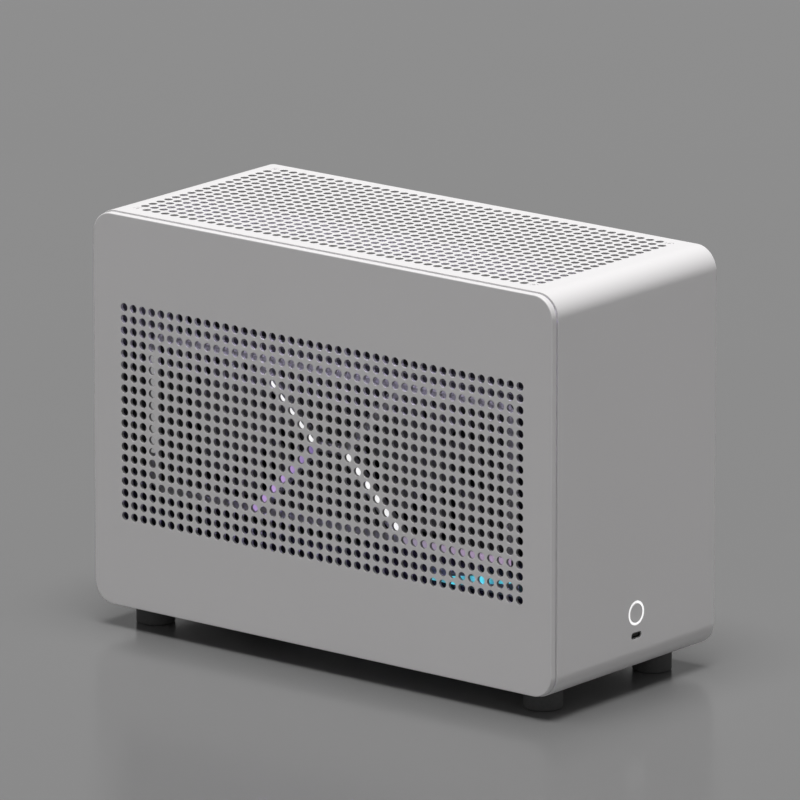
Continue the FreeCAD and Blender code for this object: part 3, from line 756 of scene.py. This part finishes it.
# %% Lips and bends
bend_steps = 18
beside_bend = 3 * mm
for number in (1, 3, 5, 7):
    start = wrap_path[number][0]
    for i in range(bend_steps):
        plain_strip(start + bend_length * i / bend_steps, start + bend_length * (i + 1) / bend_steps)
for number in (2, 4, 6):
    start = wrap_path[number][0]
    end = start + stretches[number]
    plain_strip(start, start + beside_bend)
    plain_strip(end - beside_bend, end)
lip_end = sum(stretches)
plain_strip(0, lip_length)
plain_strip(lip_end - lip_length, lip_end)
for end in (0, lip_end):
    wrap.face([wrap_surface(end, x, depth) for x, depth in left_edge + right_edge[::-1]])
print("wrap so far", len(wrap.faces), "faces")

# %% [markdown]
# The underside lets cool air in through a row of long slots. Each slot has a strip of the blank to
# itself, so the four faces round it stay simple.

# %% Underside with its vents
vent_count = 7
vent_pitch = 20 * mm
vent_half = (2.5 * mm, 42 * mm)
floor_start = wrap_path[2][0]
floor_middle = floor_start + flat_length / 2
first_cut = floor_middle - vent_count * vent_pitch / 2
plain_strip(floor_start + beside_bend, first_cut)
for i in range(vent_count):
    start = first_cut + i * vent_pitch
    middle = (start + vent_pitch / 2, wrap_middle)
    holed_strip(start, start + vent_pitch, middle, vent_half, vent_half[0], steps=8)
plain_strip(first_cut + vent_count * vent_pitch, floor_start + flat_length - beside_bend)
print("underside vents", vent_count)

# %% [markdown]
# The front has two openings, a round one for the button and a slot for the port. Both take their place
# and size from the pieces that sit in them, with a hair of clearance all round.

# %% Front with the button's hole and the port's slot
ring_low, ring_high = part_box("light_ring")
port_low, port_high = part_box("usb_socket")
ring_radius = (ring_high.z - ring_low.z) / 2
ring_gap = 0.15 * mm
port_gap = 0.3 * mm
port_half = ((port_high.z - port_low.z) / 2 + port_gap, (port_high.x - port_low.x) / 2 + port_gap)
front_start = wrap_path[4][0]
front_low_z = shell_low.z + bend_radius
port_along = front_start + (port_low.z + port_high.z) / 2 - front_low_z
ring_along = front_start + (ring_low.z + ring_high.z) / 2 - front_low_z
ring_hole = ring_radius + ring_gap
between = (port_along + port_half[0] + ring_along - ring_hole) / 2
above_ring = ring_along + 2 * ring_radius
port_middle = (port_along, wrap_middle)
ring_middle = (ring_along, wrap_middle)
holed_strip(front_start + beside_bend, between, port_middle, port_half, port_half[0], steps=8)
holed_strip(between, above_ring, ring_middle, (ring_hole, ring_hole), ring_hole, steps=16)
plain_strip(above_ring, front_start + flat_height - beside_bend)
print("button hole", round(2000 * ring_hole, 1), "mm across")

# %% [markdown]
# The top has the same field of holes as the left side. It is punched in the flat blank with the same
# function, only on another surface, and its hole walls get a paler painted shade than those of the sides,
# as more light falls into them.

# %% Perforated top
top_start = wrap_path[6][0]
top_field_right = 1 * mm
top_field_rearward = 3 * mm
top_middle = (top_start + flat_length / 2 + top_field_rearward, wrap_middle + top_field_right)
top_from = top_start + beside_bend
top_to = top_start + flat_length - beside_bend
strip_edges(top_from, top_to)
top_border = perforate(wrap, wrap_surface, top_middle, field_columns, field_rows, 2)
for depth in (0, skin_thickness):
    collar(wrap, wrap_surface, depth, strip_sides(top_from, top_to), top_border)
wall_finishes = ["punched_edge", "top_punched_edge"]
make_piece("bent_perforated_wrap", wrap, "chassis", "white_sheet", ["outer_shell"], wall_finishes)

# %% [markdown]
# ## Turned pieces
#
# Feet, the button and screws are bodies of revolution. A cylinder with a bevel has one rounding at both
# ends; a profile of radius and height points, carried round an axis, gives each edge its own.


# %% Carry a profile round an axis
def around(centre, axis, radius, height, corners=0, sides=48):
    """Loop of points round an axis: a circle, or a regular polygon with that many corners."""
    axis = Vector(axis)
    across = axis.orthogonal().normalized()
    upright = axis.cross(across)
    loop = []
    for i in range(sides):
        angle = 2 * math.pi * i / sides
        reach = radius
        if corners:
            sector = 2 * math.pi / corners
            reach *= math.cos(sector / 2) / math.cos(angle % sector - sector / 2)
        spoke = across * math.cos(angle) + upright * math.sin(angle)
        loop.append(Vector(centre) + spoke * reach + axis * height)
    return loop


def turned(skin, profile, centre, axis, sides=48):
    """Skin of a profile of (radius, height) points; a profile that closes on itself makes a ring."""
    loops = [around(centre, axis, *point, sides=sides) for point in profile]
    if profile[0] == profile[-1]:
        skin.bands(loops)
    else:
        skin.ended(loops)


def quarter(radius_middle, height_middle, radius, start, end):
    """Points of an arc in a profile, angles in degrees from outwards, positive upwards."""
    steps = 5
    angles = [math.radians(start + (end - start) * i / steps) for i in range(steps + 1)]
    return [(radius_middle + radius * math.cos(a), height_middle + radius * math.sin(a)) for a in angles]


print("turning ready")

# %% [markdown]
# ## Feet
#
# Four dark rubber feet with a softly broken lower edge, each with a round sink for its screw below. One
# profile serves them all, at the places that the frame gives.

# %% Four rubber feet
break_radius = 1.2 * mm
top_edge = 0.3 * mm
sink_middle = 2.5 * mm
sink_radius = 4.5 * mm
sink_depth = 4 * mm
sink_edge_width = 0.5 * mm
sink_edge_height = 0.4 * mm
for node in ("front_left_foot", "front_right_foot", "rear_left_foot", "rear_right_foot"):
    low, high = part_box(node)
    foot_radius = (high.x - low.x) / 2
    foot_height = high.z - low.z
    profile = [(sink_middle, sink_depth), (sink_radius, sink_depth), (sink_radius, sink_edge_height)]
    profile += [(sink_radius + sink_edge_width, 0)]
    profile += quarter(foot_radius - break_radius, break_radius, break_radius, -90, 0)
    profile += [(foot_radius, foot_height - top_edge), (foot_radius - top_edge, foot_height)]
    skin = Skin()
    centre = ((low.x + high.x) / 2, (low.y + high.y) / 2, 0)
    turned(skin, profile, centre, (0, 0, 1))
    make_piece(node.replace("_foot", "_rubber_foot"), skin, "chassis", "foot_rubber", [node])

# %% [markdown]
# ## Power button and its ring of light
#
# The button is a small white cap, flush with the front and just dished to take a fingertip. A milky
# ring fills the gap round it and glows. Both are turned, and the cap rides on the button's own body, so
# that it can be pressed while the ring stays.

# %% Button cap
button_low, button_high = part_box("power_button")
button_radius = (button_high.z - button_low.z) / 2
button_length = button_high.y - button_low.y
button_middle = ((button_low.x + button_high.x) / 2, button_low.y, (button_low.z + button_high.z) / 2)
button_round = 0.35 * mm
dish = 0.12 * mm
profile = [(button_radius, button_length)]
profile += quarter(button_radius - button_round, button_round, button_round, 0, -90)
profile += [(button_radius * share, dish * (1 - share * share)) for share in (0.85, 0.6, 0.3, 0.05)]
skin = Skin()
turned(skin, profile, button_middle, (0, 1, 0))
make_piece("button_cap", skin, "button", "white_sheet", ["power_button"])

# %% Ring of light
button_gap = 0.3 * mm
ring_inner = button_radius + button_gap
ring_depth = ring_high.y - ring_low.y
ring_round = 0.2 * mm
profile = [(ring_inner, ring_depth)]
profile += quarter(ring_inner + ring_round, ring_round, ring_round, 180, 270)
profile += quarter(ring_radius - ring_round, ring_round, ring_round, -90, 0)
profile += [(ring_radius, ring_depth), (ring_inner, ring_depth)]
skin = Skin()
turned(skin, profile, (button_middle[0], ring_low.y, button_middle[2]), (0, 1, 0), sides=64)
make_piece("ring_of_light", skin, "chassis", "ring_light", ["light_ring"])

# %% [markdown]
# ## The port's socket
#
# The slot under the button is a pressed steel sleeve with round ends. Inside, a thin tongue carries a
# row of contacts on each face. The sleeve is one outline carried through a folded profile: its outside,
# its rounded mouth and its inside. The contacts are short bars that stand just proud of the tongue.


# %% Bars with a section along Y
def long_bar(skin, section, start, end, finish=0):
    """A section of (x, z) points carried along Y."""
    skin.ended([[(x, y, z) for x, z in section] for y in (start, end)], finish)


def rectangle(left, bottom, right, top):
    return [(left, bottom), (right, bottom), (right, top), (left, top)]


print("bars have a section in X and Z")

# %% Sleeve
port_x = (port_low.x + port_high.x) / 2
port_z = (port_low.z + port_high.z) / 2
sleeve_half = ((port_high.x - port_low.x) / 2, (port_high.z - port_low.z) / 2)
sleeve_wall = 0.3 * mm
sleeve_depth = port_high.y - port_low.y
mouth = 0.1 * mm
folded = [(0, sleeve_depth), (0, mouth), (mouth, 0), (sleeve_wall - mouth, 0), (sleeve_wall, mouth)]
folded += [(sleeve_wall, sleeve_depth - sleeve_wall)]
loops = []
for inset, depth in folded:
    half = [h - inset for h in sleeve_half]
    outline = closed(rounded_sides((port_x, port_z), half, half[1], steps=8))
    loops.append([(x, port_low.y + depth, z) for x, z in outline])
skin = Skin()
skin.ended(loops)
print("sleeve", len(skin.faces), "faces")

# %% Tongue and contacts
tongue_half = (3.3 * mm, 0.35 * mm)
tongue_from = port_low.y + 0.9 * mm
tongue_to = port_high.y - sleeve_wall
tongue_round = 0.3 * mm
tongue = closed(rounded_sides((port_x, port_z), tongue_half, tongue_round, steps=4))
long_bar(skin, tongue, tongue_from, tongue_to, 1)
contact_count = 12
contact_pitch = 0.5 * mm
contact_half_x = 0.13 * mm
contact_half_z = 0.03 * mm
contact_from = tongue_from + 0.4 * mm
contact_to = tongue_from + 4 * mm
for i in range(contact_count):
    x = port_x + (i - (contact_count - 1) / 2) * contact_pitch
    for side in (-1, 1):
        z = port_z + side * tongue_half[1]
        section = rectangle(x - contact_half_x, z - contact_half_z, x + contact_half_x, z + contact_half_z)
        long_bar(skin, section, contact_from, contact_to, 2)
port_finishes = ["black_plastic", "brass_pillar"]
make_piece("port_sleeve", skin, "chassis", "spring_steel", ["usb_socket"], port_finishes)

# %% [markdown]
# ## Light bars
#
# Each strip of diodes lies under a milky cover with rounded edges, so a rounded section is carried along
# the strip. Black shades keep the light where it is wanted: the bar under the top has one above it, so
# that it lights the card and not the holes, and the bar on the floor shines only towards the left side.
# Its front end is black, so that no bare light shows through the seam beside the left tray.

# %% Three light bars
cover_round = 0.8 * mm
shade_gap = 0.05 * mm


def light_bar(name, node, slot, shade_above=0.0, shade_right=0.0, blank_front=0.0):
    """Milky cover in the place of one light strip, with black shades and a black front end."""
    low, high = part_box(node)
    cover_high = Vector((high.x - shade_right, high.y, high.z - shade_above))
    middle = (low + cover_high) / 2
    half = (cover_high - low) / 2
    cover = closed(rounded_sides((middle.x, middle.z), (half.x, half.z), cover_round, steps=4))
    skin = Skin()
    long_bar(skin, cover, low.y + blank_front, high.y)
    if blank_front:
        long_bar(skin, cover, low.y, low.y + blank_front - shade_gap, 1)
    if shade_above:
        section = rectangle(low.x, cover_high.z + shade_gap, high.x, high.z)
        long_bar(skin, section, low.y, high.y, 1)
    if shade_right:
        section = rectangle(cover_high.x + shade_gap, low.z, high.x, cover_high.z)
        long_bar(skin, section, low.y, high.y, 1)
    make_piece(name, skin, "chassis", slot, [node], ["black_steel"])


light_bar("top_light_bar", "top_light_strip", "violet_light", shade_above=1 * mm)
light_bar("front_light_bar", "front_light_strip", "cyan_light")
light_bar("floor_light_bar", "floor_light_strip", "floor_light",
          shade_above=0.6 * mm, shade_right=5 * mm, blank_front=68 * mm)

# %% [markdown]
# ## Glowing lines on the card's frame: painted highlights and painted light
#
# Glowing beads on the card's frame stand in for the light that its bars catch: white painted highlights on
# the two braces that fall towards the front, a violet painted highlight on the lower rear one, lilac
# painted light along the front half of the lower bar and pale painted light up the rear bar. Each is a low
# bead along its bar, a rounded section between two points, because a line that is only painted on would
# not catch light at its edges.

# %% Beads along the braces
frame_low, frame_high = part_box("card_frame")
frame_middle = (frame_low + frame_high) / 2
bead_height = 0.5 * mm
bead_seat = 1.7 * mm
bead_steps = 8


def painted_light_bead(name, slot, finish, width, lines):
    """Low glowing beads in the frame's face, painted highlights and painted light, on lines between points
    in Y and Z from its middle, in mm.
    """
    skin = Skin()
    turns = [math.pi * i / bead_steps for i in range(bead_steps + 1)]
    section = [(width / 2 * math.cos(a), -bead_height * math.sin(a)) for a in turns]
    section += [(-width / 2, bead_seat), (width / 2, bead_seat)]
    for line in lines:
        ends = [frame_middle + Vector((0, y, z)) * mm for y, z in line]
        along = (ends[1] - ends[0]).normalized()
        across = Vector((0, along.z, -along.y))
        loops = []
        for end in ends:
            seat = Vector((frame_low.x, end.y, end.z))
            loops.append([seat + across * a + Vector((x, 0, 0)) for a, x in section])
        skin.ended(loops)
    piece = make_piece(name, skin, "chassis", slot)
    piece.data.materials[0] = finishes[finish]


falling_braces = [((11.6, 2), (46.6, 37)), ((-14, -2), (-53, -41))]
rear_brace = [((11.2, -1), (55.2, -45))]
lower_bar = [((-55, -45.3), (-134.4, -45.3))]
rear_bar = [((132.2, 38), (132.2, -24))]
# These glowing beads are painted highlights and painted light on the frame's bars.
painted_light_bead("white_painted_highlight_beads", "ring_light", "white_painted_highlight", 3.6 * mm, falling_braces)
painted_light_bead("violet_painted_highlight_bead", "violet_light", "violet_painted_highlight", 4.4 * mm, rear_brace)
painted_light_bead("lower_painted_light_bead", "violet_light", "lilac_painted_light", 4.2 * mm, lower_bar)
painted_light_bead("rear_painted_light_bead", "ring_light", "pale_painted_light", 4.2 * mm, rear_bar)

# %% [markdown]
# ## Card fans
#
# A card fan is one grey moulding: a dished hub on a short shaft, with swept blades that are pitched more
# steeply at the hub than at the tip. A blade is a grid over its length and its chord, once for the
# front face and once for the back, joined round the edge. Most of its measures taper from root to tip.

# %% One blade
blade_sweep = 0.35
blade_chord = (0.72, 0.62)
blade_thickness = (1.3 * mm, 0.8 * mm)
blade_camber = 0.9 * mm
pitch_share = (0.92, 0.52)


def taper(ends, share):
    """Value on the way from the root's to the tip's."""
    return ends[0] + (ends[1] - ends[0]) * share


def fan_blade(skin, centre, start_angle, root, tip, depth):
    """Swept, twisted blade from the root radius to the tip radius, in a given depth along X."""
    spans = 10
    chords = 8

    def point(i, j, face):
        u, v = i / spans, j / chords
        radius = taper((root, tip), u)
        angle = start_angle + blade_sweep * u * u + (v - 0.5) * taper(blade_chord, u)
        camber = blade_camber * math.sin(math.pi * v)
        x = centre[0] + (v - 0.5) * depth * taper(pitch_share, u) - camber
        x += face * taper(blade_thickness, u) / 2
        return (x, centre[1] + radius * math.cos(angle), centre[2] + radius * math.sin(angle))

    for face in (-1, 1):
        skin.rows([[point(i, j, face) for j in range(chords + 1)] for i in range(spans + 1)])
    rim = [(0, j) for j in range(chords)] + [(i, chords) for i in range(spans)]
    rim += [(spans, chords - j) for j in range(chords)] + [(spans - i, 0) for i in range(spans)]
    skin.bands([[point(i, j, face) for i, j in rim] for face in (-1, 1)])


print("blade thickness at half length", round(1000 * taper(blade_thickness, 0.5), 2), "mm")

# %% Two fans
blade_count = 7
fan_tip = 41 * mm
hub_radius = 17 * mm
hub_depth = 9 * mm
hub_round = 1.5 * mm
hub_middle = 0.5 * mm
dish_radius = 11 * mm
dish_depth = 0.4 * mm
shaft_radius = 3 * mm
blade_root = hub_radius - 0.6 * mm
blade_depth = hub_depth - 1.6 * mm
blade_setback = 0.3 * mm
for body in ("front_fan", "rear_fan"):
    low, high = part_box(body + "_rotor")
    face = (low.x, (low.y + high.y) / 2, frame_middle.z)
    profile = [(hub_middle, dish_depth), (dish_radius, dish_depth), (dish_radius + dish_depth, 0)]
    profile += quarter(hub_radius - hub_round, hub_round, hub_round, -90, 0)
    profile += [(hub_radius, hub_depth), (shaft_radius, hub_depth), (shaft_radius, high.x - low.x)]
    skin = Skin()
    turned(skin, profile, face, (1, 0, 0))
    middle = (low.x + hub_depth / 2 + blade_setback, face[1], face[2])
    for i in range(blade_count):
        angle = 2 * math.pi * i / blade_count
        fan_blade(skin, middle, angle, blade_root, fan_tip, blade_depth)
    fan = make_piece(body + "_moulding", skin, body, "black_plastic", [body + "_rotor"])
    fan.data.materials[0] = finishes["fan_plastic"]

# %% [markdown]
# ## Cooling fins
#
# Behind the fans lies a stack of thin fins on a base plate. Every fin is the same sheet with its outer
# corners cut off, so one section is carried through its thickness again and again at a close pitch.

# %% Fin stack
fins_low, fins_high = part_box("card_fins")
fin_pitch = 2 * mm
fin_sheet = 0.4 * mm
fin_base = 3 * mm
fin_corner = 3 * mm
fin_gap = 0.02 * mm
base_x = fins_high.x - fin_base
fin = [(base_x, fins_low.z), (base_x, fins_high.z), (fins_low.x + fin_corner, fins_high.z)]
fin += [(fins_low.x, fins_high.z - fin_corner), (fins_low.x, fins_low.z + fin_corner)]
fin += [(fins_low.x + fin_corner, fins_low.z)]
skin = Skin()
plate = rectangle(base_x, fins_low.z, fins_high.x, fins_high.z)
long_bar(skin, plate, fins_low.y, fins_high.y)
fin_total = int((fins_high.y - fins_low.y - fin_sheet) / fin_pitch) + 1
for i in range(fin_total):
    start = fins_low.y + i * fin_pitch
    long_bar(skin, [(x - fin_gap, z) for x, z in fin], start, start + fin_sheet)
make_piece("fin_stack", skin, "chassis", "dark_fins", ["card_fins"])

# %% [markdown]
# ## Screws
#
# White flush screws hold the wrap to the rails through the four corner holes of the top, and dark screws
# with a rounded head hold the rear plate and the card's bracket. All have a six-sided socket: circles
# and hexagons get the same number of points, so they join like any other loops of a profile.

# %% Flush screws in the top
socket_corners = 6
screw_sides = 36
flush_radius = hole_radius - 0.08 * mm
flush_edge = 0.2 * mm
flush_top = -0.1 * mm
flush_foot = -1.9 * mm
flush_socket = 1.1 * mm
flush_socket_floor = -1.2 * mm
flush = [(flush_radius, flush_foot), (flush_radius, flush_top - flush_edge)]
flush += [(flush_radius - flush_edge, flush_top), (flush_socket, flush_top, socket_corners)]
flush += [(flush_socket, flush_socket_floor, socket_corners)]
skin = Skin()
for along in (-1, 1):
    for across in (-1, 1):
        hole = (top_middle[0] + along * (field_columns - 1) / 2 * hole_pitch,
                top_middle[1] + across * (field_rows - 1) / 2 * hole_pitch)
        turned(skin, flush, wrap_surface(*hole, 0), (0, 0, 1), screw_sides)
make_piece("top_screws", skin, "chassis", "white_sheet")

# %% Rounded screws at the rear
head_radius = 2.8 * mm
head_round = 1.5 * mm
head_rim = 0.3 * mm
head_top = 1.75 * mm
head_socket = 1 * mm
head_socket_floor = 0.6 * mm
head = [(head_radius, 0)] + quarter(head_radius - head_round, head_rim, head_round, 0, 75)
head += [(head_socket, head_top, socket_corners), (head_socket, head_socket_floor, socket_corners)]
skin = Skin()
plate_y = 156 * mm
plate_screws = ((-62, 42), (-62, 222), (62, 70), (62, 222))
for x, z in plate_screws:
    turned(skin, head, (x * mm, plate_y, z * mm), (0, 1, 0), screw_sides)
bracket_low, bracket_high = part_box("card_bracket")
bracket_x = (bracket_low.x + bracket_high.x) / 2
bracket_screw_y = bracket_high.y - 6 * mm
bracket_reach = 10 * mm
for x in (bracket_x - bracket_reach, bracket_x + bracket_reach):
    turned(skin, head, (x, bracket_screw_y, bracket_high.z), (0, 0, 1), screw_sides)
make_piece("rear_screws", skin, "chassis", "black_steel")

# %% [markdown]
# ## Light, floor and camera
#
# The case stands on a plain pale floor in soft studio light. A sun lamp overhead makes the top the
# brightest face; its disc is wide, so the shadows have soft edges. Pale walls all round fill the sides
# evenly. The camera is far away with a long lens, so upright edges stay nearly parallel.

# %% Floor
floor_half = 8.0
floor_mesh = bpy.data.meshes.new("studio_floor")
corners = [(x, y, 0) for x, y in rectangle(-floor_half, -floor_half, floor_half, floor_half)]
floor_mesh.from_pydata(corners, [], [(0, 1, 2, 3)])
floor = add_object("studio_floor", floor_mesh)
floor_finish = Finish("pale_studio_floor", IOR=1.4)
floor_grain = floor_finish.noise(scale=3.0, detail=2.0)
floor_finish.link("Base Color", floor_finish.blend(floor_grain, grey(0.171), grey(0.181)))
floor_finish.link("Roughness", 0.16 + 0.04 * floor_grain)
floor_mesh.materials.append(floor_finish.material)
print("floor", 2 * floor_half, "m wide")

# %% Overhead light
overhead = bpy.data.lights.new("overhead_light", "SUN")
overhead.energy = 3.5
overhead.angle = math.radians(32)
lamp = add_object("overhead_light", overhead)
light_from = Vector((-0.1, -0.06, 1.0))
lamp.location = light_from
lamp.rotation_euler = light_from.to_track_quat("Z", "Y").to_euler()
print("overhead light", overhead.energy)

# %% Pale walls all round, and a darker ceiling
world = bpy.data.worlds.new("studio")
bpy.context.scene.world = world
world.use_nodes = True
studio = Wiring(world.node_tree, "Background")
direction = studio.node("TexCoord", output="Generated")
height = studio.node("SeparateXYZ", None, {"Vector": direction}, "Z")
ramp = {"interpolation_type": "SMOOTHSTEP"}
above_walls = studio.node("MapRange", ramp, {"Value": height, "From Min": 0.25, "From Max": 0.6})
walls = grey(0.408)
ceiling = grey(0.1)
studio.link("Color", studio.blend(above_walls, walls, ceiling))
print("studio walls and ceiling set")

# %% Camera
view_heading = math.radians(51.145)
view_pitch = math.radians(-14.582)
view_distance = 6.675
view_target = Vector((-0.2 * mm, 1.4 * mm, 147.6 * mm))
level = math.cos(view_pitch)
forward = Vector((math.sin(view_heading) * level, math.cos(view_heading) * level, math.sin(view_pitch)))
camera_data = bpy.data.cameras.new("long_lens")
camera_data.lens = 516.7
camera_data.sensor_width = 36.0
camera = add_object("long_lens", camera_data)
camera.location = view_target - forward * view_distance
camera.rotation_euler = forward.to_track_quat("-Z", "Y").to_euler()
bpy.context.scene.camera = camera
print("camera at", [round(v, 3) for v in camera.location])

# %% Colour view and update
bpy.context.scene.view_settings.view_transform = "Standard"
bpy.context.view_layer.update()
